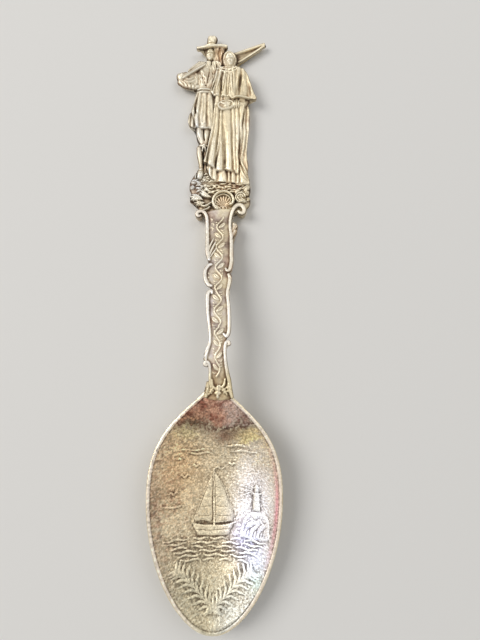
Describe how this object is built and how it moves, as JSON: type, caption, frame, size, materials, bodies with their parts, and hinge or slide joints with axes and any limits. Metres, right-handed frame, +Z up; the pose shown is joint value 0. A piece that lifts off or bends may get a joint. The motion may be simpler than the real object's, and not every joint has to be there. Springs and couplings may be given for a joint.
{
  "type": "souvenir spoon",
  "caption": "Small silver souvenir spoon: egg-shaped bowl, arched scroll-bordered stem and a flat-backed finial of two figures in old dress on a rocky base.",
  "frame": {"origin": "middle of the spoon's length and width, at the level of the table that it lies on", "axes": "+Y from the bowl's tip to the top of the finial, +X to the right seen from above with the finial away, +Z up out of the bowl"},
  "size_m": [0.0294, 0.14, 0.0104],
  "materials": {
    "bowl_silver": "satin",
    "antique_silver": "satin"
  },
  "bodies": {
    "root": {"bowl": "bowl_silver", "stem": "antique_silver", "finial_base": "antique_silver", "gentleman": "antique_silver", "lady": "antique_silver", "long_gun": "antique_silver"}
  },
  "joints": []
}
